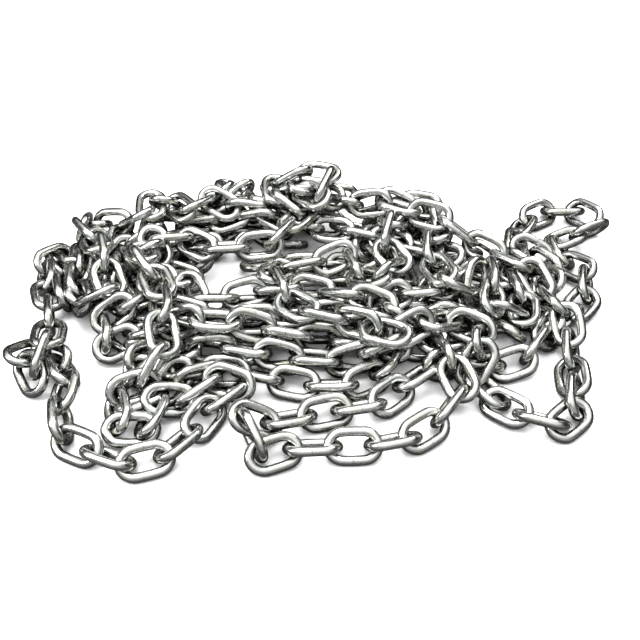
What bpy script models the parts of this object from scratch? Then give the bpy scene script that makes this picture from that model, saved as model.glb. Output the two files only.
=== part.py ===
"""Heap of steel chain: one length of welded link chain dropped in a loose pile on a floor.

Metres, +Z up, floor at z = 0.  The long way of the heap runs along X, the front looks to -Y.
The route of the chain was read off the photograph by hand.  Every link is one rigid loop of
the same size; a spacing pass then parts the wires so that no two share the same space.
"""
import math

import bmesh
import bpy
import numpy as np

# The link, real sizes in metres.
WIRE = 0.0087                     # wire diameter
PITCH = 0.0345                    # inside length of a link
EYE_WIDTH = 0.0148                # inside width of a link
BEND = (EYE_WIDTH + WIRE) / 2     # radius of the end bends, at the wire's centre
HALF_SIDE = (PITCH + WIRE) / 2 - BEND

# The link as it is built here: eight corners, five-sided wire with a ridge to the inside.
CORNER_ANGLE = math.radians(23.0)
CORNER_REACH = 1.03 * BEND        # a little beyond the bend, so that the flats keep its size
WIRE_SIDES = 5
RIDGE = 0.00462                   # centre of the wire to a ridge of its five sides
FLAT = RIDGE * math.cos(math.pi / WIRE_SIDES)

# The end link stands on edge, a flat of its lower side on the floor.
END_HEIGHT = 1000 * (FLAT + BEND)

JOINED = 0.0076                   # wire centres of two links that bear and are built as one
APART = 0.0095                    # wire centres of all other links, at the least
STEP = PITCH + WIRE - APART       # from one bearing point of the chain to the next
LINKS_PER_RUN = 4

# How the photograph looks at the floor.
VIEW_TILT = math.radians(42.0)
VIEW_DISTANCE = 0.85
VIEW_FOCAL = 847.0               # in pixels
PICTURE_MIDDLE = 320.0
VIEWPOINT = np.array([0.0, -VIEW_DISTANCE * math.cos(VIEW_TILT), VIEW_DISTANCE * math.sin(VIEW_TILT)])

# The chain from end to end, in stretches: (pixel across, pixel down, height in millimetres).
END_LINK = [(352, 196, END_HEIGHT), (318, 196, END_HEIGHT)]
BACK_ROW = [(290, 204, 14), (250, 208, 14), (205, 216, 14), (165, 228, 14), (130, 244, 14)]
UNDER_LEFT = [(112, 262, 10), (100, 292, 10), (106, 318, 10), (140, 332, 10)]
UNDER_ROW = [(175, 338, 10), (225, 334, 10), (275, 330, 10), (325, 328, 10), (375, 318, 10), (420, 304, 12),
             (465, 294, 12)]
UNDER_BACK = [(468, 270, 14), (438, 258, 16), (395, 250, 16), (352, 238, 16), (305, 232, 20), (262, 226, 36)]
TOP_BACK = [(250, 190, 60), (256, 208, 56), (230, 206, 54), (214, 222, 50), (206, 194, 54), (186, 216, 46)]
LEFT_PEAK = [(158, 200, 52), (152, 226, 44), (122, 218, 40), (94, 220, 36)]
LEFT_COIL = [(78, 224, 36), (106, 250, 36), (104, 274, 32), (120, 300, 28), (104, 322, 22), (74, 300, 24),
             (80, 266, 28), (86, 240, 40)]
LEFT_RIM = [(72, 252, 18), (40, 262, 18), (44, 280, 18), (50, 302, 20), (55, 328, 20)]
LEFT_LOOP = [(52, 356, 20), (43, 392, 10), (31, 358, 22)]
LEFT_FOOT = [(48, 360, 8), (62, 382, 12), (60, 408, 12), (57, 436, 12), (90, 451, 12), (129, 469, 12),
             (163, 459, 12), (196, 429, 12), (214, 404, 16), (240, 382, 20)]
LOWER_LEFT = [(214, 376, 22), (184, 400, 20), (152, 394, 20), (122, 412, 16), (156, 430, 14), (120, 438, 14),
              (98, 406, 16), (138, 383, 20), (174, 376, 18)]
OVER_RISE = [(160, 350, 50), (166, 316, 56), (160, 286, 56)]
TOP_ROW = [(140, 266, 38), (144, 230, 46), (154, 262, 42), (150, 234, 48), (198, 238, 48), (213, 250, 46),
           (243, 245, 50), (277, 240, 52), (304, 236, 52)]
CREST = [(300, 212, 56), (276, 200, 58), (276, 178, 62), (302, 168, 74), (330, 174, 72), (350, 188, 64),
         (322, 198, 64), (294, 196, 66), (284, 182, 60), (312, 182, 64), (344, 186, 66)]
OVER_RIDGE = [(352, 204, 60), (384, 203, 58), (416, 219, 50), (447, 235, 42), (478, 246, 34), (508, 258, 26),
              (532, 277, 20), (549, 299, 18), (560, 322, 16), (568, 350, 16), (574, 384, 14)]
FRONT_RIGHT = [(579, 407, 12), (560, 430, 12), (522, 416, 12), (486, 394, 14), (455, 366, 18)]
RIGHT_ARC = [(488, 338, 24), (455, 318, 30), (420, 322, 30), (385, 345, 28), (350, 362, 26), (310, 360, 26),
             (270, 348, 26), (225, 346, 26), (180, 348, 24), (135, 354, 20)]
LOW_ROW = [(132, 374, 16), (178, 370, 18), (230, 366, 18), (275, 376, 16), (310, 388, 15), (350, 386, 15),
           (388, 375, 16)]
MIDDLE_ROW = [(410, 345, 22), (375, 342, 26), (325, 346, 26), (275, 335, 28), (225, 327, 28), (175, 325, 28),
              (132, 334, 22), (98, 346, 16), (66, 348, 16)]
LEFT_SLOPE = [(96, 330, 20), (124, 312, 28), (146, 286, 36), (178, 262, 40)]
UPPER_ROW = [(184, 286, 32), (198, 312, 26), (240, 298, 24), (270, 286, 28), (308, 296, 32), (340, 312, 30),
             (385, 312, 28), (430, 318, 22)]
RIGHT_INNER = [(470, 352, 18), (492, 375, 14), (520, 362, 14), (542, 352, 16), (554, 374, 14),
               (546, 336, 16)]
RIGHT_TAIL = [(572, 312, 14), (590, 292, 14), (590, 264, 14), (566, 262, 14), (545, 256, 14), (558, 234, 14),
              (592, 234, 14), (603, 216, 14), (574, 208, 14), (540, 210, 14), (514, 226, 14), (520, 250, 14),
              (498, 264, 16)]
RIGHT_LOOP = [(512, 284, 20), (526, 312, 20), (520, 340, 20), (496, 322, 30), (486, 300, 34)]
RIGHT_TOP = [(478, 266, 34), (482, 294, 28), (440, 290, 34), (434, 262, 38), (432, 236, 42), (450, 214, 44),
             (430, 200, 50), (400, 200, 54)]
RIGHT_RING = [(384, 243, 54), (402, 268, 50), (380, 294, 46), (356, 280, 48), (350, 250, 52), (322, 262, 50),
              (286, 262, 46), (262, 284, 46), (282, 312, 40), (330, 322, 42), (380, 332, 42), (420, 340, 36)]
FRONT_ROW = [(464, 400, 14), (438, 422, 12), (413, 441, 12), (374, 446, 12), (332, 447, 12), (292, 447, 12),
             (252, 456, 8), (242, 418, 36), (272, 422, 18), (306, 416, 14), (342, 407, 14), (374, 405, 14),
             (402, 390, 14), (432, 370, 16)]

# The core: a plain low mound on the floor that stands for the strands hidden inside the heap.
CORE_HEIGHT = 0.022
CORE_SLOPE = 0.45                 # rise of its sides
CORE_OUTLINE = [(150, 372), (300, 368), (430, 358), (515, 344), (538, 318), (520, 282), (470, 244),
                (400, 224), (165, 226), (112, 246), (86, 278), (96, 330)]
CORE_ROOM = 0.0012                # between the core and the links that lie on it

# Each stretch, whether its first link turns its open side to the viewer (True) or its edge, and
# whether its points are the very bearing points (True) or a line that the links follow.
ROUTE = [(END_LINK, True, False), (BACK_ROW, True, False), (UNDER_LEFT, True, False),
         (UNDER_ROW, True, False), (UNDER_BACK, True, False), (TOP_BACK, False, False),
         (LEFT_PEAK, True, False), (LEFT_COIL, False, False), (LEFT_RIM, True, False),
         (LEFT_LOOP, False, True), (LEFT_FOOT, False, True), (LOWER_LEFT, False, False),
         (OVER_RISE, True, False), (TOP_ROW, True, False), (CREST, False, False),
         (OVER_RIDGE, True, False), (FRONT_RIGHT, True, False), (RIGHT_ARC, True, False),
         (LOW_ROW, True, False), (MIDDLE_ROW, True, False), (LEFT_SLOPE, True, False),
         (UPPER_ROW, True, False), (FRONT_ROW, False, True), (RIGHT_INNER, False, False),
         (RIGHT_TAIL, True, False), (RIGHT_LOOP, False, False), (RIGHT_TOP, True, False),
         (RIGHT_RING, True, False)]

# The first spacing pass, with the links as plain rods from bearing point to bearing point.
ROD_STEPS = 150
ROD_ROOM = 0.021                  # room between two rods
NEXT_ROD_ROOM = 0.4 * STEP        # room between a rod and the next but one
SHARPEST_TURN = 0.95 * STEP       # from a bearing point to the next but one, at the least
ROD_FLOOR = 0.006                 # height of a bearing point over the floor, at the least
ROD_PUSH = 0.25                   # share of what two rods lack that each is moved in one step
ROD_STACKING = 1.2                # how far the push is turned upright, so that strands pile up
ROD_DRAW = 0.06                   # share of the way back to the route in one step
ROD_SIGHT_SLIP = 0.7              # share of that draw left out along the line of sight
ROD_STRIDE = 0.003                # the farthest a bearing point moves in one step

# The second spacing pass, with the links as rigid loops.
LAY_STEPS = 260                   # drawn to the route while the wires are kept apart
PART_STEPS = 460                  # the wires only kept apart
SINK = 0.00015                    # downward creep in each laying step
TURNING = 1 / 0.018 ** 2          # how readily a link turns, against how readily it moves
CALM = 1.2                        # share of the summed pushes that a link follows
DRAW = 0.02                       # share of the way to the route in one step
SIGHT_SLIP = 0.85                 # share of that draw left out along the line of sight
TURN_DRAW = 0.5                   # how far the draw also turns a link
STRIDE = 0.0012                   # the farthest a link moves in one step
TWIST = 0.06                      # the farthest it turns, in radians

WHITE_METAL = (0.55, 0.56, 0.55, 1.0)


def length(rows):
    return np.sqrt((rows * rows).sum(-1))


def unit(rows):
    return rows / np.maximum(length(rows), 1e-12)[..., None]


def floor_point(across, down, millimetres):
    """The point at this height that the photograph shows at this pixel."""
    forward = np.array([0.0, math.cos(VIEW_TILT), -math.sin(VIEW_TILT)])
    upward = np.array([0.0, math.sin(VIEW_TILT), math.cos(VIEW_TILT)])
    ray = forward + upward * (PICTURE_MIDDLE - down) / VIEW_FOCAL
    ray[0] += (across - PICTURE_MIDDLE) / VIEW_FOCAL
    return VIEWPOINT + ray * ((millimetres / 1000 - VIEWPOINT[2]) / ray[2])


def pace(points):
    """Bearing points one STEP apart along a bent line."""
    marks = [points[0]]
    start = points[0]
    for corner in points[1:]:
        while True:
            along = corner - start
            back = start - marks[-1]
            a = along @ along
            b = 2 * back @ along
            c = back @ back - STEP * STEP
            room = b * b - 4 * a * c
            if a == 0 or room < 0:
                break
            part = (math.sqrt(room) - b) / (2 * a)
            if part < 0 or part > 1:
                break
            start = start + along * part
            marks.append(start)
        start = corner
    return marks


def bearing_points():
    """Every bearing point of the chain, stretch after stretch, and which links face the viewer.

    Links are crossed by turns, so the crossing from one stretch to the next takes the number
    of links nearest its length that keeps them so.
    """
    marks = []
    for stretch, faces_viewer, exact in ROUTE:
        paced = [floor_point(*point) for point in stretch]
        if not exact:
            paced = pace(paced)
        if not marks:
            first_faces = faces_viewer
        else:
            gap = paced[0] - marks[-1]
            wanted = float(length(gap)) / STEP
            next_faces = first_faces == (len(marks) % 2 == 1)
            odd = next_faces == faces_viewer
            count = 2 * max(1, round(wanted / 2))
            if not odd:
                count = 2 * max(0, round((wanted - 1) / 2)) + 1
            last = marks[-1]
            marks.extend(last + gap * k / count for k in range(1, count))
        marks.extend(paced)
    turns = np.arange(len(marks) - 1) % 2
    return np.array(marks), (turns == 0) == first_faces


def core_corners():
    """The corners of the core's foot on the floor."""
    return np.array([floor_point(across, down, 0)[:2] for across, down in CORE_OUTLINE])


def ground(places):
    """Height of the floor, or of the core with its room, at these places."""
    corners = core_corners()
    inside = np.full(places.shape[:-1], np.inf)
    for here, there in zip(corners, np.roll(corners, -1, axis=0)):
        along = unit(there - here)
        inward = np.array([-along[1], along[0]])
        inside = np.minimum(inside, (places[..., :2] - here) @ inward)
    return np.clip(inside * CORE_SLOPE + CORE_ROOM, 0, CORE_HEIGHT + CORE_ROOM)


def nearest(p, along_p, q, along_q):
    """Nearest points of the segments p..p+along_p and q..q+along_q, row by row."""
    r = p - q
    a = (along_p * along_p).sum(-1)
    b = (along_p * along_q).sum(-1)
    c = (along_p * r).sum(-1)
    e = (along_q * along_q).sum(-1)
    f = (along_q * r).sum(-1)
    s = np.clip((b * f - c * e) / np.maximum(a * e - b * b, 1e-14), 0, 1)
    t = (b * s + f) / e
    s = np.where(t < 0, np.clip(-c / a, 0, 1), s)
    s = np.where(t > 1, np.clip((b - c) / a, 0, 1), s)
    return p + along_p * s[:, None], q + along_q * np.clip(t, 0, 1)[:, None]


def gather(rows, amounts, count):
    return np.stack([np.bincount(rows, amounts[:, k], count) for k in range(3)], axis=1)


def limited(moves, most):
    size = length(moves)[:, None]
    return moves * np.minimum(1, most / np.maximum(size, 1e-12))


def part_as_rods(marks):
    """Lift the strands clear of one another, the links taken as plain rods."""
    aim = marks.copy()
    total = len(marks)
    sight = unit(aim - VIEWPOINT)
    for _ in range(ROD_STEPS):
        move = np.zeros_like(marks)
        rod = marks[1:] - marks[:-1]
        slack = unit(rod) * ((length(rod) - STEP) / 2)[:, None]
        move[:-1] += slack
        move[1:] -= slack
        skip = marks[2:] - marks[:-2]
        open_up = unit(skip) * (np.maximum(SHARPEST_TURN - length(skip), 0) / 2)[:, None]
        move[2:] += open_up
        move[:-2] -= open_up
        middle = (marks[1:] + marks[:-1]) / 2
        i, j = np.nonzero(np.triu(length(middle[:, None] - middle[None]) < STEP + ROD_ROOM, 2))
        x, y = nearest(marks[i], rod[i], marks[j], rod[j])
        gap = y - x
        lack = np.maximum(np.where(j == i + 2, NEXT_ROD_ROOM, ROD_ROOM) - length(gap), 0)
        away = unit(gap)
        away[:, 2] += ROD_STACKING * np.sign((aim[j] + aim[j + 1] - aim[i] - aim[i + 1])[:, 2] + 1e-9)
        push = unit(away) * (ROD_PUSH * lack)[:, None]
        s = ((x - marks[i]) * rod[i]).sum(1) / (rod[i] * rod[i]).sum(1)
        t = ((y - marks[j]) * rod[j]).sum(1) / (rod[j] * rod[j]).sum(1)
        move -= gather(i, push * (1 - s)[:, None], total) + gather(i + 1, push * s[:, None], total)
        move += gather(j, push * (1 - t)[:, None], total) + gather(j + 1, push * t[:, None], total)
        off = aim - marks
        move += ROD_DRAW * (off - ROD_SIGHT_SLIP * sight * (off * sight).sum(1)[:, None])
        move[:, 2] += np.maximum(ROD_FLOOR + ground(marks) - marks[:, 2], 0) / 2
        marks = np.round(marks + limited(move, ROD_STRIDE), 7)
        marks[:2] = aim[:2]
    return marks


def link_outline():
    """Corners of a link's centre line: x along the link, y across it."""
    reach = HALF_SIDE + CORNER_REACH * math.cos(CORNER_ANGLE)
    across = CORNER_REACH * math.sin(CORNER_ANGLE)
    right = [(HALF_SIDE, -BEND), (reach, -across), (reach, across), (HALF_SIDE, BEND)]
    left = [(-x, -y) for x, y in right]
    return np.array(right + left)


def turned(vectors, turn):
    """Vectors turned by rotation vectors, row by row."""
    angle = length(turn)[:, None]
    axis = unit(turn)
    along = axis * (axis * vectors).sum(1)[:, None]
    return along + (vectors - along) * np.cos(angle) + np.cross(axis, vectors) * np.sin(angle)


def loops(centre, axis, width):
    outline = link_outline()
    return centre[:, None] + axis[:, None] * outline[:, :1] + width[:, None] * outline[:, 1:]


def run_numbers(count):
    """Which run each link is built in: the end link alone, then LINKS_PER_RUN at a time."""
    return (np.arange(count) + LINKS_PER_RUN - 1) // LINKS_PER_RUN


def settle(centre, axis, width, goals, run, held, floor):
    """Draw rigid links to their bearing points, then part them until no two wires share space.

    Neighbours within a run bear on each other at JOINED, all other links stay APART, a run of -1
    is linked to nothing before it, and held links stay where they are.
    """
    count = len(centre)
    start = (centre[held], axis[held], width[held])
    for step in range(LAY_STEPS + PART_STEPS):
        corner = loops(centre, axis, width)
        side = np.roll(corner, -1, axis=1) - corner
        reach = PITCH + 2 * WIRE + APART
        near = np.triu(length(centre[:, None] - centre[None]) < reach, 1) & ~(held[:, None] & held[None])
        i, j = np.nonzero(near)
        middle = corner + side / 2
        half = length(side) / 2
        span = half[i][:, :, None] + half[j][:, None] + APART
        close = length(middle[i][:, :, None] - middle[j][:, None]) < span
        pair, m, n = np.nonzero(close)
        i = i[pair]
        j = j[pair]
        x, y = nearest(corner[i, m], side[i, m], corner[j, n], side[j, n])
        gap = y - x
        wide = length(gap)
        wanted = np.where((j == i + 1) & (run[i] == run[j]), JOINED, APART)
        error = np.maximum(wanted - wide, 0)
        linked = np.nonzero((j == i + 1) & (run[j] >= 0))[0]
        linked = linked[np.lexsort((wide[linked], i[linked]))]
        bearing = linked[np.unique(i[linked], return_index=True)[1]]
        error[bearing] = (wanted - wide)[bearing]
        busy = np.nonzero(error)[0]
        i = i[busy]
        j = j[busy]
        away = unit(gap[busy])
        arm_i = np.cross(x[busy] - centre[i], away)
        arm_j = np.cross(y[busy] - centre[j], away)
        ease = 2 + TURNING * ((arm_i * arm_i).sum(1) + (arm_j * arm_j).sum(1))
        share = (error[busy] / ease)[:, None]
        move = gather(j, share * away, count) - gather(i, share * away, count)
        turn = TURNING * (gather(j, share * arm_j, count) - gather(i, share * arm_i, count))
        contacts = np.bincount(i, minlength=count) + np.bincount(j, minlength=count)
        probe = np.concatenate([corner, middle], axis=1)
        sunk = np.maximum(RIDGE + floor(probe) - probe[:, :, 2], 0)
        arm = np.cross(probe - centre[:, None], np.array([0.0, 0.0, 1.0]))
        lift = sunk / (1 + TURNING * (arm * arm).sum(2))
        move[:, 2] += lift.sum(1)
        turn += TURNING * (arm * lift[:, :, None]).sum(1)
        contacts = contacts + (sunk > 0).sum(1)
        calm = (CALM / np.sqrt(np.maximum(contacts, 1)))[:, None]
        move *= calm
        turn *= calm
        if step < LAY_STEPS:
            for end, goal in zip((-PITCH / 2, PITCH / 2), goals):
                here = centre + axis * end
                sight = unit(here - VIEWPOINT)
                off = goal - here
                off = DRAW * (off - SIGHT_SLIP * sight * (off * sight).sum(1)[:, None])
                move += off
                turn += TURN_DRAW * TURNING * np.cross(axis * end, off)
            move[:, 2] -= SINK
        centre = centre + limited(move, STRIDE)
        turn = limited(turn, TWIST)
        axis = unit(turned(axis, turn))
        width = turned(width, turn)
        width = unit(width - axis * (axis * width).sum(1)[:, None])
        if step % 4 == 3:
            centre = np.round(centre, 7)
            axis = np.round(axis, 7)
            width = np.round(width, 7)
        centre[held], axis[held], width[held] = start
    return centre, axis, width


def lay_links():
    """Centre, long axis and width axis of every link of the chain."""
    aim, faces_viewer = bearing_points()
    marks = part_as_rods(aim)
    axis = unit(marks[1:] - marks[:-1])
    centre = (marks[1:] + marks[:-1]) / 2
    facing = unit(np.cross(centre - VIEWPOINT, axis))
    width = np.where(faces_viewer[:, None], facing, np.cross(axis, facing))
    width[0] = (0.0, 0.0, 1.0)
    count = len(centre)
    only_end_link = np.arange(count) == 0
    return settle(centre, axis, width, (aim[:-1], aim[1:]), run_numbers(count), only_end_link, ground)


def link_points(centre, axis, width):
    """The wire's corners all round one link: for each corner of the outline its ring of ridges."""
    outline = link_outline()
    corners = len(outline)
    normal = np.cross(axis, width)
    ring = []
    for k in range(corners):
        before = unit(outline[k] - outline[k - 1])
        after = unit(outline[(k + 1) % corners] - outline[k])
        out_before = np.array([before[1], -before[0]])
        out_after = np.array([after[1], -after[0]])
        mitre = unit(out_before + out_after)
        mitre = mitre / (mitre @ out_before)
        for side in range(WIRE_SIDES):
            angle = math.pi + 2 * math.pi * side / WIRE_SIDES
            flat = outline[k] + mitre * RIDGE * math.cos(angle)
            ring.append(centre + axis * flat[0] + width * flat[1] + normal * RIDGE * math.sin(angle))
    return np.array(ring)


def link_mesh(points):
    """One closed link with five-sided wire, the corners mitred."""
    corners = len(points) // WIRE_SIDES
    faces = []
    for k in range(corners):
        for side in range(WIRE_SIDES):
            a = k * WIRE_SIDES + side
            b = k * WIRE_SIDES + (side + 1) % WIRE_SIDES
            c = ((k + 1) % corners) * WIRE_SIDES + (side + 1) % WIRE_SIDES
            d = ((k + 1) % corners) * WIRE_SIDES + side
            faces.append((a, b, c, d))
    mesh = bpy.data.meshes.new("link")
    mesh.from_pydata(points.tolist(), [], faces)
    work = bmesh.new()
    work.from_mesh(mesh)
    bmesh.ops.recalc_face_normals(work, faces=work.faces)
    work.to_mesh(mesh)
    work.free()
    return mesh


def keep_outer_shell(mesh):
    """Fill the pin-head hollows that two five-sided wires can shut in where they cross."""
    work = bmesh.new()
    work.from_mesh(mesh)
    left = set(work.verts)
    shells = []
    while left:
        shell = set()
        todo = [left.pop()]
        while todo:
            vert = todo.pop()
            shell.add(vert)
            for edge in vert.link_edges:
                other = edge.other_vert(vert)
                if other in left:
                    left.remove(other)
                    todo.append(other)
        shells.append(shell)
    shells.sort(key=len)
    for shell in shells[:-1]:
        bmesh.ops.delete(work, geom=list(shell), context="VERTS")
    work.to_mesh(mesh)
    work.free()


def join_links(name, meshes, collection):
    """The links of one run, joined where each bears on the next."""
    whole = bpy.data.objects.new(name, meshes[0])
    collection.objects.link(whole)
    for mesh in meshes[1:]:
        other = bpy.data.objects.new("next_link", mesh)
        collection.objects.link(other)
        union = whole.modifiers.new("join", "BOOLEAN")
        union.operation = "UNION"
        union.solver = "EXACT"
        union.object = other
        bpy.context.view_layer.update()
        graph = bpy.context.evaluated_depsgraph_get()
        joined = bpy.data.meshes.new_from_object(whole.evaluated_get(graph))
        whole.modifiers.clear()
        whole.data = joined
        bpy.data.objects.remove(other)
    keep_outer_shell(whole.data)
    whole.data.name = name
    return whole


def lay_core(name, shift, collection):
    """The core as a closed mound: its foot, its sloped sides and its flat top."""
    work = bmesh.new()
    foot = [work.verts.new((x - shift[0], y - shift[1], 0.0)) for x, y in core_corners()]
    top = work.faces.new(foot)
    top.normal_update()
    slope_width = CORE_HEIGHT / CORE_SLOPE
    bmesh.ops.inset_region(work, faces=[top], thickness=slope_width, use_boundary=True, use_even_offset=True)
    bmesh.ops.translate(work, vec=(0.0, 0.0, CORE_HEIGHT), verts=top.verts)
    bmesh.ops.holes_fill(work, edges=work.edges, sides=len(foot))
    bmesh.ops.recalc_face_normals(work, faces=work.faces)
    mesh = bpy.data.meshes.new(name)
    work.to_mesh(mesh)
    work.free()
    mound = bpy.data.objects.new(name, mesh)
    collection.objects.link(mound)
    return mound


def zinc(name):
    material = bpy.data.materials.new(name)
    material.use_nodes = True
    shader = material.node_tree.nodes["Principled BSDF"]
    shader.inputs["Base Color"].default_value = WHITE_METAL
    shader.inputs["Metallic"].default_value = 1.0
    shader.inputs["Roughness"].default_value = 0.3
    return material


def build():
    for old in list(bpy.data.objects):
        bpy.data.objects.remove(old)
    collection = bpy.data.collections.new("steel_chain_heap")
    bpy.context.scene.collection.children.link(collection)
    centre, axis, width = lay_links()
    count = len(centre)
    points = np.array([link_points(centre[k], axis[k], width[k]) for k in range(count)])
    middle = (points.max(axis=(0, 1)) + points.min(axis=(0, 1))) / 2
    points[:, :, :2] -= middle[:2]
    core = lay_core("inner_core", middle, collection)
    core.data.materials.append(zinc(core.name))
    run = run_numbers(count)
    for number in range(run[-1] + 1):
        members = [k for k in range(count) if run[k] == number]
        name = "links_{:03d}_to_{:03d}".format(members[0] + 1, members[-1] + 1)
        meshes = [link_mesh(points[k]) for k in members]
        whole = join_links(name, meshes, collection)
        whole.data.materials.clear()
        whole.data.materials.append(zinc(name))


build()
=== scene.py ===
"""Looks of the steel chain heap: every link as round welded wire, its bright zinc plating and the studio.

Metres, +Z up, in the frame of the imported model.  The links lie where the model's own spacing pass
puts them, so its route and its passes are repeated here.
"""
import math
import random

import bpy
import numpy as np
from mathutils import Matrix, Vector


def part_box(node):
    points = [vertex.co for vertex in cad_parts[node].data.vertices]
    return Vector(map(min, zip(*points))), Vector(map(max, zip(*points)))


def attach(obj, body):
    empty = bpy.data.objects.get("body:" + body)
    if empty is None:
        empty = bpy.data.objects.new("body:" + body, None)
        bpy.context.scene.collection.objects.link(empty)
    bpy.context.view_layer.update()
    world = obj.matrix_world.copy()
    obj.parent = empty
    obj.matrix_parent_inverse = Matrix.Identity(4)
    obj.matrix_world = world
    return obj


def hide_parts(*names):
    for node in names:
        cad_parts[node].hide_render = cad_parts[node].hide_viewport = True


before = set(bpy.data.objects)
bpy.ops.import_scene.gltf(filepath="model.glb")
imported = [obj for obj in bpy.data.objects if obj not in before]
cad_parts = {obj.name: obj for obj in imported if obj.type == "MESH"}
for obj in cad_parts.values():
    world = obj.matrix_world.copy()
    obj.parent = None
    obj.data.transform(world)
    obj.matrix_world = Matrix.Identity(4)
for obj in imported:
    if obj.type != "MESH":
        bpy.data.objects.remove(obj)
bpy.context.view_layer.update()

# The link, real sizes in metres.
WIRE = 0.0087                     # wire diameter
PITCH = 0.0345                    # inside length of a link
EYE_WIDTH = 0.0148                # inside width of a link
BEND = (EYE_WIDTH + WIRE) / 2     # radius of the end bends, at the wire's centre
HALF_SIDE = (PITCH + WIRE) / 2 - BEND

# The link as the model builds it, whose sizes the spacing passes here use: eight corners, five-sided wire with a ridge
# to the inside.
CORNER_ANGLE = math.radians(23.0)
CORNER_REACH = 1.03 * BEND        # a little beyond the bend, so that the flats keep its size
WIRE_SIDES = 5
RIDGE = 0.00462                   # centre of the wire to a ridge of its five sides
FLAT = RIDGE * math.cos(math.pi / WIRE_SIDES)

# The end link stands on edge, a flat of its lower side on the floor.
END_HEIGHT = 1000 * (FLAT + BEND)

JOINED = 0.0076                   # wire centres of two links that bear and are built as one
APART = 0.0095                    # wire centres of all other links, at the least
STEP = PITCH + WIRE - APART       # from one bearing point of the chain to the next
LINKS_PER_RUN = 4

# How the photograph looks at the floor.
VIEW_TILT = math.radians(42.0)
VIEW_DISTANCE = 0.85
VIEW_FOCAL = 847.0               # in pixels
PICTURE_MIDDLE = 320.0
VIEWPOINT = np.array([0.0, -VIEW_DISTANCE * math.cos(VIEW_TILT), VIEW_DISTANCE * math.sin(VIEW_TILT)])

# The chain from end to end, in stretches: (pixel across, pixel down, height in millimetres).
END_LINK = [(352, 196, END_HEIGHT), (318, 196, END_HEIGHT)]
BACK_ROW = [(290, 204, 14), (250, 208, 14), (205, 216, 14), (165, 228, 14), (130, 244, 14)]
UNDER_LEFT = [(112, 262, 10), (100, 292, 10), (106, 318, 10), (140, 332, 10)]
UNDER_ROW = [(175, 338, 10), (225, 334, 10), (275, 330, 10), (325, 328, 10), (375, 318, 10), (420, 304, 12),
             (465, 294, 12)]
UNDER_BACK = [(468, 270, 14), (438, 258, 16), (395, 250, 16), (352, 238, 16), (305, 232, 20), (262, 226, 36)]
TOP_BACK = [(250, 190, 60), (256, 208, 56), (230, 206, 54), (214, 222, 50), (206, 194, 54), (186, 216, 46)]
LEFT_PEAK = [(158, 200, 52), (152, 226, 44), (122, 218, 40), (94, 220, 36)]
LEFT_COIL = [(78, 224, 36), (106, 250, 36), (104, 274, 32), (120, 300, 28), (104, 322, 22), (74, 300, 24),
             (80, 266, 28), (86, 240, 40)]
LEFT_RIM = [(72, 252, 18), (40, 262, 18), (44, 280, 18), (50, 302, 20), (55, 328, 20)]
LEFT_LOOP = [(52, 356, 20), (43, 392, 10), (31, 358, 22)]
LEFT_FOOT = [(48, 360, 8), (62, 382, 12), (60, 408, 12), (57, 436, 12), (90, 451, 12), (129, 469, 12),
             (163, 459, 12), (196, 429, 12), (214, 404, 16), (240, 382, 20)]
LOWER_LEFT = [(214, 376, 22), (184, 400, 20), (152, 394, 20), (122, 412, 16), (156, 430, 14), (120, 438, 14),
              (98, 406, 16), (138, 383, 20), (174, 376, 18)]
OVER_RISE = [(160, 350, 50), (166, 316, 56), (160, 286, 56)]
TOP_ROW = [(140, 266, 38), (144, 230, 46), (154, 262, 42), (150, 234, 48), (198, 238, 48), (213, 250, 46),
           (243, 245, 50), (277, 240, 52), (304, 236, 52)]
CREST = [(300, 212, 56), (276, 200, 58), (276, 178, 62), (302, 168, 74), (330, 174, 72), (350, 188, 64),
         (322, 198, 64), (294, 196, 66), (284, 182, 60), (312, 182, 64), (344, 186, 66)]
OVER_RIDGE = [(352, 204, 60), (384, 203, 58), (416, 219, 50), (447, 235, 42), (478, 246, 34), (508, 258, 26),
              (532, 277, 20), (549, 299, 18), (560, 322, 16), (568, 350, 16), (574, 384, 14)]
FRONT_RIGHT = [(579, 407, 12), (560, 430, 12), (522, 416, 12), (486, 394, 14), (455, 366, 18)]
RIGHT_ARC = [(488, 338, 24), (455, 318, 30), (420, 322, 30), (385, 345, 28), (350, 362, 26), (310, 360, 26),
             (270, 348, 26), (225, 346, 26), (180, 348, 24), (135, 354, 20)]
LOW_ROW = [(132, 374, 16), (178, 370, 18), (230, 366, 18), (275, 376, 16), (310, 388, 15), (350, 386, 15),
           (388, 375, 16)]
MIDDLE_ROW = [(410, 345, 22), (375, 342, 26), (325, 346, 26), (275, 335, 28), (225, 327, 28), (175, 325, 28),
              (132, 334, 22), (98, 346, 16), (66, 348, 16)]
LEFT_SLOPE = [(96, 330, 20), (124, 312, 28), (146, 286, 36), (178, 262, 40)]
UPPER_ROW = [(184, 286, 32), (198, 312, 26), (240, 298, 24), (270, 286, 28), (308, 296, 32), (340, 312, 30),
             (385, 312, 28), (430, 318, 22)]
RIGHT_INNER = [(470, 352, 18), (492, 375, 14), (520, 362, 14), (542, 352, 16), (554, 374, 14),
               (546, 336, 16)]
RIGHT_TAIL = [(572, 312, 14), (590, 292, 14), (590, 264, 14), (566, 262, 14), (545, 256, 14), (558, 234, 14),
              (592, 234, 14), (603, 216, 14), (574, 208, 14), (540, 210, 14), (514, 226, 14), (520, 250, 14),
              (498, 264, 16)]
RIGHT_LOOP = [(512, 284, 20), (526, 312, 20), (520, 340, 20), (496, 322, 30), (486, 300, 34)]
RIGHT_TOP = [(478, 266, 34), (482, 294, 28), (440, 290, 34), (434, 262, 38), (432, 236, 42), (450, 214, 44),
             (430, 200, 50), (400, 200, 54)]
RIGHT_RING = [(384, 243, 54), (402, 268, 50), (380, 294, 46), (356, 280, 48), (350, 250, 52), (322, 262, 50),
              (286, 262, 46), (262, 284, 46), (282, 312, 40), (330, 322, 42), (380, 332, 42), (420, 340, 36)]
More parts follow.
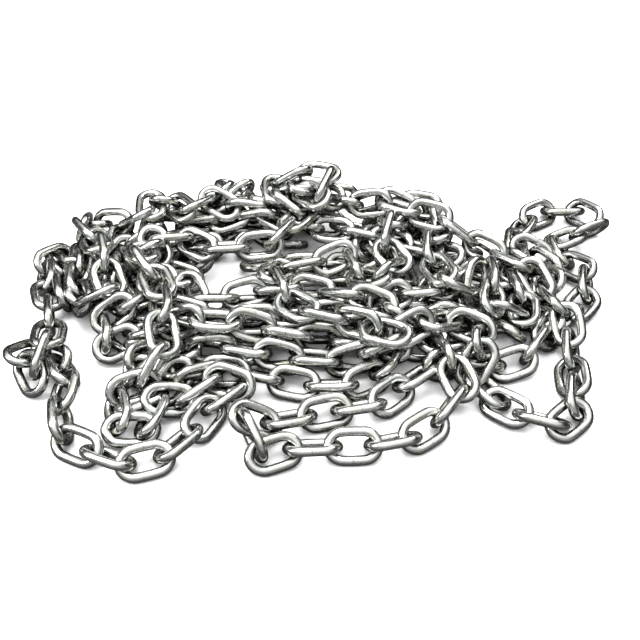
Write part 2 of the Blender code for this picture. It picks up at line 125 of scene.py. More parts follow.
FRONT_ROW = [(464, 400, 14), (438, 422, 12), (413, 441, 12), (374, 446, 12), (332, 447, 12), (292, 447, 12),
             (252, 456, 8), (242, 418, 36), (272, 422, 18), (306, 416, 14), (342, 407, 14), (374, 405, 14),
             (402, 390, 14), (432, 370, 16)]

# The core: a plain low mound on the floor that stands for the strands hidden inside the heap.
CORE_HEIGHT = 0.022
CORE_SLOPE = 0.45                 # rise of its sides
CORE_OUTLINE = [(150, 372), (300, 368), (430, 358), (515, 344), (538, 318), (520, 282), (470, 244),
                (400, 224), (165, 226), (112, 246), (86, 278), (96, 330)]
CORE_ROOM = 0.0012                # between the core and the links that lie on it

# Each stretch, whether its first link turns its open side to the viewer (True) or its edge, and
# whether its points are the very bearing points (True) or a line that the links follow.
ROUTE = [(END_LINK, True, False), (BACK_ROW, True, False), (UNDER_LEFT, True, False),
         (UNDER_ROW, True, False), (UNDER_BACK, True, False), (TOP_BACK, False, False),
         (LEFT_PEAK, True, False), (LEFT_COIL, False, False), (LEFT_RIM, True, False),
         (LEFT_LOOP, False, True), (LEFT_FOOT, False, True), (LOWER_LEFT, False, False),
         (OVER_RISE, True, False), (TOP_ROW, True, False), (CREST, False, False),
         (OVER_RIDGE, True, False), (FRONT_RIGHT, True, False), (RIGHT_ARC, True, False),
         (LOW_ROW, True, False), (MIDDLE_ROW, True, False), (LEFT_SLOPE, True, False),
         (UPPER_ROW, True, False), (FRONT_ROW, False, True), (RIGHT_INNER, False, False),
         (RIGHT_TAIL, True, False), (RIGHT_LOOP, False, False), (RIGHT_TOP, True, False),
         (RIGHT_RING, True, False)]

# The first spacing pass, with the links as plain rods from bearing point to bearing point.
ROD_STEPS = 150
ROD_ROOM = 0.021                  # room between two rods
NEXT_ROD_ROOM = 0.4 * STEP        # room between a rod and the next but one
SHARPEST_TURN = 0.95 * STEP       # from a bearing point to the next but one, at the least
ROD_FLOOR = 0.006                 # height of a bearing point over the floor, at the least
ROD_PUSH = 0.25                   # share of what two rods lack that each is moved in one step
ROD_STACKING = 1.2                # how far the push is turned upright, so that strands pile up
ROD_DRAW = 0.06                   # share of the way back to the route in one step
ROD_SIGHT_SLIP = 0.7              # share of that draw left out along the line of sight
ROD_STRIDE = 0.003                # the farthest a bearing point moves in one step

# The second spacing pass, with the links as rigid loops.
LAY_STEPS = 260                   # drawn to the route while the wires are kept apart
PART_STEPS = 460                  # the wires only kept apart
SINK = 0.00015                    # downward creep in each laying step
TURNING = 1 / 0.018 ** 2          # how readily a link turns, against how readily it moves
CALM = 1.2                        # share of the summed pushes that a link follows
DRAW = 0.02                       # share of the way to the route in one step
SIGHT_SLIP = 0.85                 # share of that draw left out along the line of sight
TURN_DRAW = 0.5                   # how far the draw also turns a link
STRIDE = 0.0012                   # the farthest a link moves in one step
TWIST = 0.06                      # the farthest it turns, in radians



def length(rows):
    return np.sqrt((rows * rows).sum(-1))


def unit(rows):
    return rows / np.maximum(length(rows), 1e-12)[..., None]


def floor_point(across, down, millimetres):
    """The point at this height that the photograph shows at this pixel."""
    forward = np.array([0.0, math.cos(VIEW_TILT), -math.sin(VIEW_TILT)])
    upward = np.array([0.0, math.sin(VIEW_TILT), math.cos(VIEW_TILT)])
    ray = forward + upward * (PICTURE_MIDDLE - down) / VIEW_FOCAL
    ray[0] += (across - PICTURE_MIDDLE) / VIEW_FOCAL
    return VIEWPOINT + ray * ((millimetres / 1000 - VIEWPOINT[2]) / ray[2])


def pace(points):
    """Bearing points one STEP apart along a bent line."""
    marks = [points[0]]
    start = points[0]
    for corner in points[1:]:
        while True:
            along = corner - start
            back = start - marks[-1]
            a = along @ along
            b = 2 * back @ along
            c = back @ back - STEP * STEP
            room = b * b - 4 * a * c
            if a == 0 or room < 0:
                break
            part = (math.sqrt(room) - b) / (2 * a)
            if part < 0 or part > 1:
                break
            start = start + along * part
            marks.append(start)
        start = corner
    return marks


def bearing_points():
    """Every bearing point of the chain, stretch after stretch, and which links face the viewer.

    Links are crossed by turns, so the crossing from one stretch to the next takes the number
    of links nearest its length that keeps them so.
    """
    marks = []
    for stretch, faces_viewer, exact in ROUTE:
        paced = [floor_point(*point) for point in stretch]
        if not exact:
            paced = pace(paced)
        if not marks:
            first_faces = faces_viewer
        else:
            gap = paced[0] - marks[-1]
            wanted = float(length(gap)) / STEP
            next_faces = first_faces == (len(marks) % 2 == 1)
            odd = next_faces == faces_viewer
            count = 2 * max(1, round(wanted / 2))
            if not odd:
                count = 2 * max(0, round((wanted - 1) / 2)) + 1
            last = marks[-1]
            marks.extend(last + gap * k / count for k in range(1, count))
        marks.extend(paced)
    turns = np.arange(len(marks) - 1) % 2
    return np.array(marks), (turns == 0) == first_faces


def core_corners():
    """The corners of the core's foot on the floor."""
    return np.array([floor_point(across, down, 0)[:2] for across, down in CORE_OUTLINE])


def ground(places):
    """Height of the floor, or of the core with its room, at these places."""
    corners = core_corners()
    inside = np.full(places.shape[:-1], np.inf)
    for here, there in zip(corners, np.roll(corners, -1, axis=0)):
        along = unit(there - here)
        inward = np.array([-along[1], along[0]])
        inside = np.minimum(inside, (places[..., :2] - here) @ inward)
    return np.clip(inside * CORE_SLOPE + CORE_ROOM, 0, CORE_HEIGHT + CORE_ROOM)


def nearest(p, along_p, q, along_q):
    """Nearest points of the segments p..p+along_p and q..q+along_q, row by row."""
    r = p - q
    a = (along_p * along_p).sum(-1)
    b = (along_p * along_q).sum(-1)
    c = (along_p * r).sum(-1)
    e = (along_q * along_q).sum(-1)
    f = (along_q * r).sum(-1)
    s = np.clip((b * f - c * e) / np.maximum(a * e - b * b, 1e-14), 0, 1)
    t = (b * s + f) / e
    s = np.where(t < 0, np.clip(-c / a, 0, 1), s)
    s = np.where(t > 1, np.clip((b - c) / a, 0, 1), s)
    return p + along_p * s[:, None], q + along_q * np.clip(t, 0, 1)[:, None]


def gather(rows, amounts, count):
    return np.stack([np.bincount(rows, amounts[:, k], count) for k in range(3)], axis=1)


def limited(moves, most):
    size = length(moves)[:, None]
    return moves * np.minimum(1, most / np.maximum(size, 1e-12))


def part_as_rods(marks):
    """Lift the strands clear of one another, the links taken as plain rods."""
    aim = marks.copy()
    total = len(marks)
    sight = unit(aim - VIEWPOINT)
    for _ in range(ROD_STEPS):
        move = np.zeros_like(marks)
        rod = marks[1:] - marks[:-1]
        slack = unit(rod) * ((length(rod) - STEP) / 2)[:, None]
        move[:-1] += slack
        move[1:] -= slack
        skip = marks[2:] - marks[:-2]
        open_up = unit(skip) * (np.maximum(SHARPEST_TURN - length(skip), 0) / 2)[:, None]
        move[2:] += open_up
        move[:-2] -= open_up
        middle = (marks[1:] + marks[:-1]) / 2
        i, j = np.nonzero(np.triu(length(middle[:, None] - middle[None]) < STEP + ROD_ROOM, 2))
        x, y = nearest(marks[i], rod[i], marks[j], rod[j])
        gap = y - x
        lack = np.maximum(np.where(j == i + 2, NEXT_ROD_ROOM, ROD_ROOM) - length(gap), 0)
        away = unit(gap)
        away[:, 2] += ROD_STACKING * np.sign((aim[j] + aim[j + 1] - aim[i] - aim[i + 1])[:, 2] + 1e-9)
        push = unit(away) * (ROD_PUSH * lack)[:, None]
        s = ((x - marks[i]) * rod[i]).sum(1) / (rod[i] * rod[i]).sum(1)
        t = ((y - marks[j]) * rod[j]).sum(1) / (rod[j] * rod[j]).sum(1)
        move -= gather(i, push * (1 - s)[:, None], total) + gather(i + 1, push * s[:, None], total)
        move += gather(j, push * (1 - t)[:, None], total) + gather(j + 1, push * t[:, None], total)
        off = aim - marks
        move += ROD_DRAW * (off - ROD_SIGHT_SLIP * sight * (off * sight).sum(1)[:, None])
        move[:, 2] += np.maximum(ROD_FLOOR + ground(marks) - marks[:, 2], 0) / 2
        marks = np.round(marks + limited(move, ROD_STRIDE), 7)
        marks[:2] = aim[:2]
    return marks


def link_outline():
    """Corners of a link's centre line: x along the link, y across it."""
    reach = HALF_SIDE + CORNER_REACH * math.cos(CORNER_ANGLE)
    across = CORNER_REACH * math.sin(CORNER_ANGLE)
    right = [(HALF_SIDE, -BEND), (reach, -across), (reach, across), (HALF_SIDE, BEND)]
    left = [(-x, -y) for x, y in right]
    return np.array(right + left)


def turned(vectors, turn):
    """Vectors turned by rotation vectors, row by row."""
    angle = length(turn)[:, None]
    axis = unit(turn)
    along = axis * (axis * vectors).sum(1)[:, None]
    return along + (vectors - along) * np.cos(angle) + np.cross(axis, vectors) * np.sin(angle)


def loops(centre, axis, width):
    outline = link_outline()
    return centre[:, None] + axis[:, None] * outline[:, :1] + width[:, None] * outline[:, 1:]


def run_numbers(count):
    """Which run each link is built in: the end link alone, then LINKS_PER_RUN at a time."""
    return (np.arange(count) + LINKS_PER_RUN - 1) // LINKS_PER_RUN


def settle(centre, axis, width, goals, run, held, floor):
    """Draw rigid links to their bearing points, then part them until no two wires share space.

    Neighbours within a run bear on each other at JOINED, all other links stay APART, a run of -1
    is linked to nothing before it, and held links stay where they are.
    """
    count = len(centre)
    start = (centre[held], axis[held], width[held])
    for step in range(LAY_STEPS + PART_STEPS):
        corner = loops(centre, axis, width)
        side = np.roll(corner, -1, axis=1) - corner
        reach = PITCH + 2 * WIRE + APART
        near = np.triu(length(centre[:, None] - centre[None]) < reach, 1) & ~(held[:, None] & held[None])
        i, j = np.nonzero(near)
        middle = corner + side / 2
        half = length(side) / 2
        span = half[i][:, :, None] + half[j][:, None] + APART
        close = length(middle[i][:, :, None] - middle[j][:, None]) < span
        pair, m, n = np.nonzero(close)
        i = i[pair]
        j = j[pair]
        x, y = nearest(corner[i, m], side[i, m], corner[j, n], side[j, n])
        gap = y - x
        wide = length(gap)
        wanted = np.where((j == i + 1) & (run[i] == run[j]), JOINED, APART)
        error = np.maximum(wanted - wide, 0)
        linked = np.nonzero((j == i + 1) & (run[j] >= 0))[0]
        linked = linked[np.lexsort((wide[linked], i[linked]))]
        bearing = linked[np.unique(i[linked], return_index=True)[1]]
        error[bearing] = (wanted - wide)[bearing]
        busy = np.nonzero(error)[0]
        i = i[busy]
        j = j[busy]
        away = unit(gap[busy])
        arm_i = np.cross(x[busy] - centre[i], away)
        arm_j = np.cross(y[busy] - centre[j], away)
        ease = 2 + TURNING * ((arm_i * arm_i).sum(1) + (arm_j * arm_j).sum(1))
        share = (error[busy] / ease)[:, None]
        move = gather(j, share * away, count) - gather(i, share * away, count)
        turn = TURNING * (gather(j, share * arm_j, count) - gather(i, share * arm_i, count))
        contacts = np.bincount(i, minlength=count) + np.bincount(j, minlength=count)
        probe = np.concatenate([corner, middle], axis=1)
        sunk = np.maximum(RIDGE + floor(probe) - probe[:, :, 2], 0)
        arm = np.cross(probe - centre[:, None], np.array([0.0, 0.0, 1.0]))
        lift = sunk / (1 + TURNING * (arm * arm).sum(2))
        move[:, 2] += lift.sum(1)
        turn += TURNING * (arm * lift[:, :, None]).sum(1)
        contacts = contacts + (sunk > 0).sum(1)
        calm = (CALM / np.sqrt(np.maximum(contacts, 1)))[:, None]
        move *= calm
        turn *= calm
        if step < LAY_STEPS:
            for end, goal in zip((-PITCH / 2, PITCH / 2), goals):
                here = centre + axis * end
                sight = unit(here - VIEWPOINT)
                off = goal - here
                off = DRAW * (off - SIGHT_SLIP * sight * (off * sight).sum(1)[:, None])
                move += off
                turn += TURN_DRAW * TURNING * np.cross(axis * end, off)
            move[:, 2] -= SINK
        centre = centre + limited(move, STRIDE)
        turn = limited(turn, TWIST)
        axis = unit(turned(axis, turn))
        width = turned(width, turn)
        width = unit(width - axis * (axis * width).sum(1)[:, None])
        if step % 4 == 3:
            centre = np.round(centre, 7)
            axis = np.round(axis, 7)
            width = np.round(width, 7)
        centre[held], axis[held], width[held] = start
    return centre, axis, width


def lay_links():
    """Centre, long axis and width axis of every link of the chain."""
    aim, faces_viewer = bearing_points()
    marks = part_as_rods(aim)
    axis = unit(marks[1:] - marks[:-1])
    centre = (marks[1:] + marks[:-1]) / 2
    facing = unit(np.cross(centre - VIEWPOINT, axis))
    width = np.where(faces_viewer[:, None], facing, np.cross(axis, facing))
    width[0] = (0.0, 0.0, 1.0)
    count = len(centre)
    only_end_link = np.arange(count) == 0
    return settle(centre, axis, width, (aim[:-1], aim[1:]), run_numbers(count), only_end_link, ground)


# Strands hidden inside and under the heap: each as (pixel across, pixel down, height in millimetres)
# of its two ends.
HIDDEN_LEAN = math.radians(45.0)  # links lean to one side and the other by turns
HIDDEN_STRANDS = [((150, 362, 11), (480, 345, 11)), ((130, 345, 11), (500, 330, 11)),
                  ((118, 328, 11), (520, 316, 11)), ((110, 312, 11), (195, 312, 11)),
                  ((250, 312, 11), (510, 300, 11)), ((112, 295, 11), (192, 296, 11)),
                  ((250, 298, 11), (395, 290, 11)), ((428, 286, 11), (500, 284, 11)),
                  ((118, 278, 11), (196, 280, 11)), ((250, 280, 11), (392, 274, 11)),
                  ((430, 270, 11), (480, 268, 11)), ((130, 262, 11), (200, 262, 11)),
                  ((248, 262, 11), (310, 262, 11)), ((352, 262, 11), (460, 255, 11)),
                  ((150, 246, 11), (310, 244, 11)), ((352, 244, 11), (440, 240, 11)),
                  ((170, 230, 11), (400, 228, 11)),
                  ((78, 240, 20), (82, 322, 12)), ((98, 232, 26), (100, 330, 12)), ((120, 226, 30), (122, 300, 22)),
                  ((140, 220, 32), (142, 300, 24)), ((150, 214, 34), (250, 206, 38)), ((180, 222, 30), (300, 214, 36)),
                  ((262, 204, 44), (350, 200, 46)), ((282, 190, 56), (340, 188, 56)), ((360, 214, 36), (440, 222, 30)),
                  ((370, 236, 30), (370, 290, 30)), ((392, 250, 32), (392, 300, 24)), ((440, 240, 24), (500, 270, 20)),
                  ((500, 290, 12), (548, 330, 10)), ((490, 310, 16), (530, 345, 10)), ((455, 290, 24), (540, 300, 12)),
                  ((440, 310, 24), (520, 322, 14)), ((120, 404, 8), (196, 384, 10)), ((180, 376, 10), (240, 366, 10)),
                  ((440, 350, 12), (500, 365, 10)), ((264, 196, 44), (348, 190, 46)),
                  ((505, 262, 16), (560, 300, 14)), ((520, 250, 12), (575, 290, 12)), ((540, 290, 12), (562, 344, 10)),
                  ((60, 250, 12), (64, 330, 10)), ((150, 332, 12), (90, 344, 12)), ((196, 206, 36), (270, 198, 40)),
                  ((350, 206, 44), (430, 210, 40)), ((400, 216, 34), (470, 236, 26))]

# The looks.
SECTIONS = 48                     # cross sections round one link
ROUND_SIDES = 12                  # sides of the wire
BULGE = 0.0007                    # how far the middle of a side stands out from a straight one
WELD_SWELL = 0.06                 # how much thicker the wire is at its weld
WELD_LENGTH = 0.0016
LINK_SEED = 11


def linear(hex_colour):
    """An sRGB hex colour as linear red, green, blue and alpha."""
    parts = [int(hex_colour[k:k + 2], 16) / 255 for k in (1, 3, 5)]
    return tuple(c / 12.92 if c <= 0.04045 else ((c + 0.055) / 1.055) ** 2.4 for c in parts) + (1.0,)


def add(tree, kind, inputs=None, **settings):
    """A node with its settings; inputs holds values or the sockets that feed it, by name or number."""
    made = tree.nodes.new(kind)
    for name, value in settings.items():
        setattr(made, name, value)
    for name, value in (inputs or {}).items():
        if isinstance(value, bpy.types.NodeSocket):
            tree.links.new(value, made.inputs[name])
        else:
            made.inputs[name].default_value = value
    return made


def link_tree(material):
    """Round wire bent to a link with its weld on one side, set on every point of the layout."""
    tree = bpy.data.node_groups.new("welded_links", "GeometryNodeTree")
    tree.interface.new_socket("Geometry", in_out="INPUT", socket_type="NodeSocketGeometry")
    for name in ("Wire diameter", "Bend radius", "Half of straight side", "Bulge", "Weld swell", "Weld length"):
        tree.interface.new_socket(name, in_out="INPUT", socket_type="NodeSocketFloat")
    tree.interface.new_socket("Seed", in_out="INPUT", socket_type="NodeSocketInt")
    tree.interface.new_socket("Geometry", in_out="OUTPUT", socket_type="NodeSocketGeometry")
    given = add(tree, "NodeGroupInput").outputs

    # The centre line: a circle, its halves drawn apart; it starts and ends in the middle of one side.
    circle = add(tree, "GeometryNodeCurvePrimitiveCircle",
                 {"Resolution": 96, "Radius": given["Bend radius"]})
    place = add(tree, "ShaderNodeSeparateXYZ", {"Vector": add(tree, "GeometryNodeInputPosition").outputs[0]})
    sideways = add(tree, "ShaderNodeMath", {0: place.outputs["Y"]}, operation="SIGN")
    apart = add(tree, "ShaderNodeMath", {0: sideways.outputs[0], 1: given["Half of straight side"]},
                operation="MULTIPLY")
    x = add(tree, "ShaderNodeMath", {0: place.outputs["Y"], 1: apart.outputs[0]}, operation="ADD")
    y = add(tree, "ShaderNodeMath", {0: place.outputs["X"], 1: -1.0}, operation="MULTIPLY")
    bent = add(tree, "ShaderNodeCombineXYZ", {"X": x.outputs[0], "Y": y.outputs[0]})
    oval = add(tree, "GeometryNodeSetPosition", {"Geometry": circle.outputs["Curve"], "Position": bent.outputs[0]})
    even = add(tree, "GeometryNodeResampleCurve", {"Curve": oval.outputs[0], "Count": SECTIONS})

    # The bulge: nothing at the link's ends, all of it in the middle of each side.
    laid = add(tree, "ShaderNodeSeparateXYZ", {"Vector": add(tree, "GeometryNodeInputPosition").outputs[0]})
    reach = add(tree, "ShaderNodeMath", {0: given["Half of straight side"], 1: given["Bend radius"]}, operation="ADD")
    far = add(tree, "ShaderNodeMath", {0: laid.outputs["X"], 1: reach.outputs[0]}, operation="DIVIDE")
    far_square = add(tree, "ShaderNodeMath", {0: far.outputs[0], 1: far.outputs[0]}, operation="MULTIPLY")
    wave = add(tree, "ShaderNodeMath", {0: far_square.outputs[0], 1: -2.0, 2: 1.0}, operation="MULTIPLY_ADD")
    which = add(tree, "ShaderNodeMath", {0: laid.outputs["Y"]}, operation="SIGN")
    outward = add(tree, "ShaderNodeMath", {0: wave.outputs[0], 1: which.outputs[0]}, operation="MULTIPLY")
    stand_out = add(tree, "ShaderNodeMath", {0: outward.outputs[0], 1: given["Bulge"]}, operation="MULTIPLY")
    offset = add(tree, "ShaderNodeCombineXYZ", {"Y": stand_out.outputs[0]})
    full = add(tree, "GeometryNodeSetPosition", {"Geometry": even.outputs[0], "Offset": offset.outputs[0]})

    # How far each section is along the wire, and the swelling at the weld.
    along = add(tree, "GeometryNodeSplineParameter").outputs["Length"]
    marked = add(tree, "GeometryNodeStoreNamedAttribute",
                 {"Geometry": full.outputs[0], "Name": "along", "Value": along}, data_type="FLOAT", domain="POINT")
    here = add(tree, "ShaderNodeSeparateXYZ", {"Vector": add(tree, "GeometryNodeInputPosition").outputs[0]})
    near = add(tree, "ShaderNodeMath", {0: here.outputs["X"], 1: given["Weld length"]}, operation="DIVIDE")
    square = add(tree, "ShaderNodeMath", {0: near.outputs[0], 1: near.outputs[0]}, operation="MULTIPLY")
    less = add(tree, "ShaderNodeMath", {0: square.outputs[0], 1: -1.0}, operation="MULTIPLY")
    bell = add(tree, "ShaderNodeMath", {0: less.outputs[0]}, operation="EXPONENT")
    side = add(tree, "ShaderNodeMath", {0: here.outputs["Y"], 1: 0.0}, operation="LESS_THAN")
    one_side = add(tree, "ShaderNodeMath", {0: bell.outputs[0], 1: side.outputs[0]}, operation="MULTIPLY")
    thicker = add(tree, "ShaderNodeMath", {0: one_side.outputs[0], 1: given["Weld swell"], 2: 1.0},
                  operation="MULTIPLY_ADD")
    swollen = add(tree, "GeometryNodeSetCurveRadius", {"Curve": marked.outputs[0], "Radius": thicker.outputs[0]})

    # The round section, which remembers where round the wire each of its points is.
    radius = add(tree, "ShaderNodeMath", {0: given["Wire diameter"], 1: 0.5}, operation="MULTIPLY")
    section = add(tree, "GeometryNodeCurvePrimitiveCircle",
                  {"Resolution": ROUND_SIDES, "Radius": radius.outputs[0]})
    around = add(tree, "GeometryNodeStoreNamedAttribute",
                 {"Geometry": section.outputs["Curve"], "Name": "around",
                  "Value": add(tree, "GeometryNodeInputPosition").outputs[0]},
                 data_type="FLOAT_VECTOR", domain="POINT")
    wire = add(tree, "GeometryNodeCurveToMesh", {"Curve": swollen.outputs[0], "Profile Curve": around.outputs[0]})

    # One link on every point, turned by the point's two axes.
    tone = add(tree, "FunctionNodeRandomValue", {"Seed": given["Seed"]}, data_type="FLOAT")
    toned = add(tree, "GeometryNodeStoreNamedAttribute",
                {"Geometry": given["Geometry"], "Name": "link_tone", "Value": tone.outputs[1]},
                data_type="FLOAT", domain="POINT")
    long_axis = add(tree, "GeometryNodeInputNamedAttribute", {"Name": "long_axis"}, data_type="FLOAT_VECTOR")
    width_axis = add(tree, "GeometryNodeInputNamedAttribute", {"Name": "width_axis"}, data_type="FLOAT_VECTOR")
    turn = add(tree, "FunctionNodeAxesToRotation",
               {0: long_axis.outputs["Attribute"], 1: width_axis.outputs["Attribute"]},
               primary_axis="X", secondary_axis="Y")
    placed = add(tree, "GeometryNodeInstanceOnPoints",
                 {"Points": toned.outputs[0], "Instance": wire.outputs[0], "Rotation": turn.outputs[0]})
    real = add(tree, "GeometryNodeRealizeInstances", {"Geometry": placed.outputs[0]})
    smooth = add(tree, "GeometryNodeSetShadeSmooth", {"Geometry": real.outputs[0]})
    plated = add(tree, "GeometryNodeSetMaterial", {"Geometry": smooth.outputs[0], "Material": material})
    add(tree, "NodeGroupOutput", {"Geometry": plated.outputs[0]})
    return tree


def bright_zinc():
    """Bright zinc-plated steel wire, drawn, bent and tumbled.

    The plating gives a clear mirror-like grey with a soft edge to its highlights; drawing leaves
    faint streaks along the wire, tumbling leaves shallow nicks, and each link has its own tone. The
    colour also holds painted shade, darker where other wire lies close in the depth of the heap.
    """
    material = bpy.data.materials.new("bright_zinc_plated_steel")
    material.use_nodes = True
    tree = material.node_tree
    shader = tree.nodes["Principled BSDF"]
    along = add(tree, "ShaderNodeAttribute", attribute_name="along").outputs["Fac"]
    around = add(tree, "ShaderNodeAttribute", attribute_name="around").outputs["Vector"]
    tone = add(tree, "ShaderNodeAttribute", attribute_name="link_tone").outputs["Fac"]
    parts = add(tree, "ShaderNodeSeparateXYZ", {"Vector": around})
    apart = add(tree, "ShaderNodeMath", {0: tone, 1: 40.0}, operation="MULTIPLY")
    on_wire = add(tree, "ShaderNodeCombineXYZ",
                  {"X": along, "Y": parts.outputs["X"], "Z": parts.outputs["Y"]}).outputs[0]

    # Drawing streaks about 0.4 mm wide and ten times as long.
    stretched = add(tree, "ShaderNodeVectorMath", {0: on_wire, 1: (0.1, 1.0, 1.0)}, operation="MULTIPLY")
    streaks = add(tree, "ShaderNodeTexNoise",
                  {"Vector": stretched.outputs[0], "W": apart.outputs[0], "Scale": 2500.0, "Detail": 2.0},
                  noise_dimensions="4D")
    # Tumbling nicks about 1.5 mm across.
    nicks = add(tree, "ShaderNodeTexNoise",
                {"Vector": on_wire, "W": apart.outputs[0], "Scale": 650.0, "Detail": 3.0, "Roughness": 0.6},
                noise_dimensions="4D")
    # Clouds in the plating about 12 mm across.
    clouds = add(tree, "ShaderNodeTexNoise",
                 {"Vector": on_wire, "W": apart.outputs[0], "Scale": 85.0, "Detail": 2.0},
                 noise_dimensions="4D")
    # Dull flecks about 2 mm across, few of them.
    flecks = add(tree, "ShaderNodeTexNoise",
                 {"Vector": on_wire, "W": apart.outputs[0], "Scale": 420.0, "Detail": 4.0, "Roughness": 0.7},
                 noise_dimensions="4D")
    fleck = add(tree, "ShaderNodeMapRange",
                {"Value": flecks.outputs["Fac"], "From Min": 0.66, "From Max": 0.72, "To Max": 0.7})

    # The weld: a ring at the wire's two ends, where the burnt flash is a little darker.
    weld = add(tree, "ShaderNodeMapRange",
               {"Value": along, "From Min": 0.0, "From Max": 0.0024, "To Min": 0.5, "To Max": 0.0})
    dull = add(tree, "ShaderNodeMath", {0: fleck.outputs[0], 1: weld.outputs[0]}, operation="MAXIMUM")

    plating = add(tree, "ShaderNodeMix", {0: tone, 6: linear("#CDCFCC"), 7: linear("#B4B6B2")}, data_type="RGBA")
    cloud = add(tree, "ShaderNodeMapRange",
                {"Value": clouds.outputs["Fac"], "From Min": 0.52, "From Max": 0.72, "To Max": 0.55})
    tinted = add(tree, "ShaderNodeMix", {0: cloud.outputs[0], 6: plating.outputs[2], 7: linear("#B5B09A")},
                 data_type="RGBA")
    flecked = add(tree, "ShaderNodeMix", {0: dull.outputs[0], 6: tinted.outputs[2], 7: linear("#5E5148")},
                  data_type="RGBA")
    # Painted shade: the colour is darkened towards #302F29 in the depth of the heap and where links bear on each
    # other, wherever ambient occlusion finds other wire close by.
    open_air = add(tree, "ShaderNodeAmbientOcclusion", {"Distance": 0.03}, samples=6)
    unshaded_share = add(tree, "ShaderNodeMapRange",
                {"Value": open_air.outputs["AO"], "From Min": 0.05, "From Max": 0.55, "To Min": 0.25, "To Max": 1.0})
    painted_shade_colour = add(tree, "ShaderNodeMix", {0: unshaded_share.outputs[0], 6: linear("#302F29"), 7: flecked.outputs[2]},
                 data_type="RGBA")
    tree.links.new(painted_shade_colour.outputs[2], shader.inputs["Base Color"])
    shader.inputs["Metallic"].default_value = 1.0
    rough = add(tree, "ShaderNodeMapRange",
                {"Value": streaks.outputs["Fac"], "From Min": 0.35, "From Max": 0.7, "To Min": 0.17, "To Max": 0.3})
    rougher = add(tree, "ShaderNodeMath", {0: dull.outputs[0], 1: 0.3, 2: rough.outputs[0]},
                  operation="MULTIPLY_ADD")
    tree.links.new(rougher.outputs[0], shader.inputs["Roughness"])

    fine = add(tree, "ShaderNodeBump",
               {"Height": streaks.outputs["Fac"], "Strength": 0.25, "Distance": 0.00003})
    worn = add(tree, "ShaderNodeBump",
               {"Height": nicks.outputs["Fac"], "Strength": 0.4, "Distance": 0.0002, "Normal": fine.outputs[0]})
    tree.links.new(worn.outputs[0], shader.inputs["Normal"])
    return material


def layout_object(name, centres, axes, widths):
    """One point for each link, which knows the link's long axis and its width axis."""
    mesh = bpy.data.meshes.new(name)
    mesh.from_pydata(centres.tolist(), [], [])
    for label, rows in (("long_axis", axes), ("width_axis", widths)):
        held = mesh.attributes.new(label, "FLOAT_VECTOR", "POINT")
        held.data.foreach_set("vector", rows.astype(np.float32).ravel())
    made = bpy.data.objects.new(name, mesh)
    bpy.context.scene.collection.objects.link(made)
    return made


def dress(run_object, tree, seed):
    """Run the tree on a layout object and keep its result as a plain mesh."""
    modifier = run_object.modifiers.new("links", "NODES")
    modifier.node_group = tree
    sizes = {"Wire diameter": WIRE, "Bend radius": BEND, "Half of straight side": HALF_SIDE, "Bulge": BULGE,
             "Weld swell": WELD_SWELL, "Weld length": WELD_LENGTH, "Seed": seed}
    for item in tree.interface.items_tree:
        if item.item_type == "SOCKET" and item.name in sizes:
            modifier[item.identifier] = sizes[item.name]
    bpy.context.view_layer.update()
    graph = bpy.context.evaluated_depsgraph_get()
    finished = bpy.data.meshes.new_from_object(run_object.evaluated_get(graph))
    run_object.modifiers.remove(modifier)
    layout = run_object.data
    run_object.data = finished
    bpy.data.meshes.remove(layout)
    finished.name = run_object.name


def level_floor(places):
    return np.zeros(places.shape[:-1])


def hidden_links(centre, axis, width):
    """The strands inside the heap, laid round the links that are held where they are."""
    centres = []
    axes = []
    widths = []
    bears = []
    for strand in HIDDEN_STRANDS:
        marks = np.array(pace([floor_point(*end) for end in strand]))
        along = unit(marks[1:] - marks[:-1])
        level = unit(np.cross(along, (0.0, 0.0, 1.0)))
        upward = np.cross(level, along)
        lean = np.where(np.arange(len(along)) % 2 == 0, HIDDEN_LEAN, -HIDDEN_LEAN)[:, None]
        centres.append((marks[1:] + marks[:-1]) / 2)
        axes.append(along)
        widths.append(level * np.cos(lean) + upward * np.sin(lean))
        bears.append(np.arange(len(along)) > 0)
    held = len(centre)
    more_centre = np.concatenate([centre] + centres)
    more_axis = np.concatenate([axis] + axes)
    more_width = np.concatenate([width] + widths)
    count = len(more_centre)
    number = np.arange(count)
    run = np.where(np.concatenate([np.zeros(held, bool)] + bears), number, -1)
    goals = (more_centre - more_axis * PITCH / 2, more_centre + more_axis * PITCH / 2)
    laid = settle(more_centre, more_axis, more_width, goals, run, number < held, level_floor)
    return [rows[held:] for rows in laid]


def make_piece(name, node, tree, seed, centre, axis, width):
    """One dressed piece of these links, standing for a node of the model."""
    piece = layout_object(name, centre, axis, width)
    dress(piece, tree, seed)
    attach(piece, "root")
    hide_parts(node)


def make_links(centre, axis, width, hidden, shift):
    """The dressed runs, each standing for the model's node of the same links, and the hidden strands."""
    material = bright_zinc()
    tree = link_tree(material)
    run = run_numbers(len(centre))
    weld_side = random.Random(LINK_SEED)
    flips = np.array([weld_side.choice((-1.0, 1.0)) for _ in centre])
    for number in range(run[-1] + 1):
        members = np.nonzero(run == number)[0]
        span = "{:03d}_to_{:03d}".format(members[0] + 1, members[-1] + 1)
        make_piece("wire_links_" + span, "links_" + span, tree, LINK_SEED + number,
                   centre[members] + shift, axis[members], width[members] * flips[members, None])
    make_piece("hidden_strands", "inner_core", tree, LINK_SEED, hidden[0] + shift, hidden[1], hidden[2])


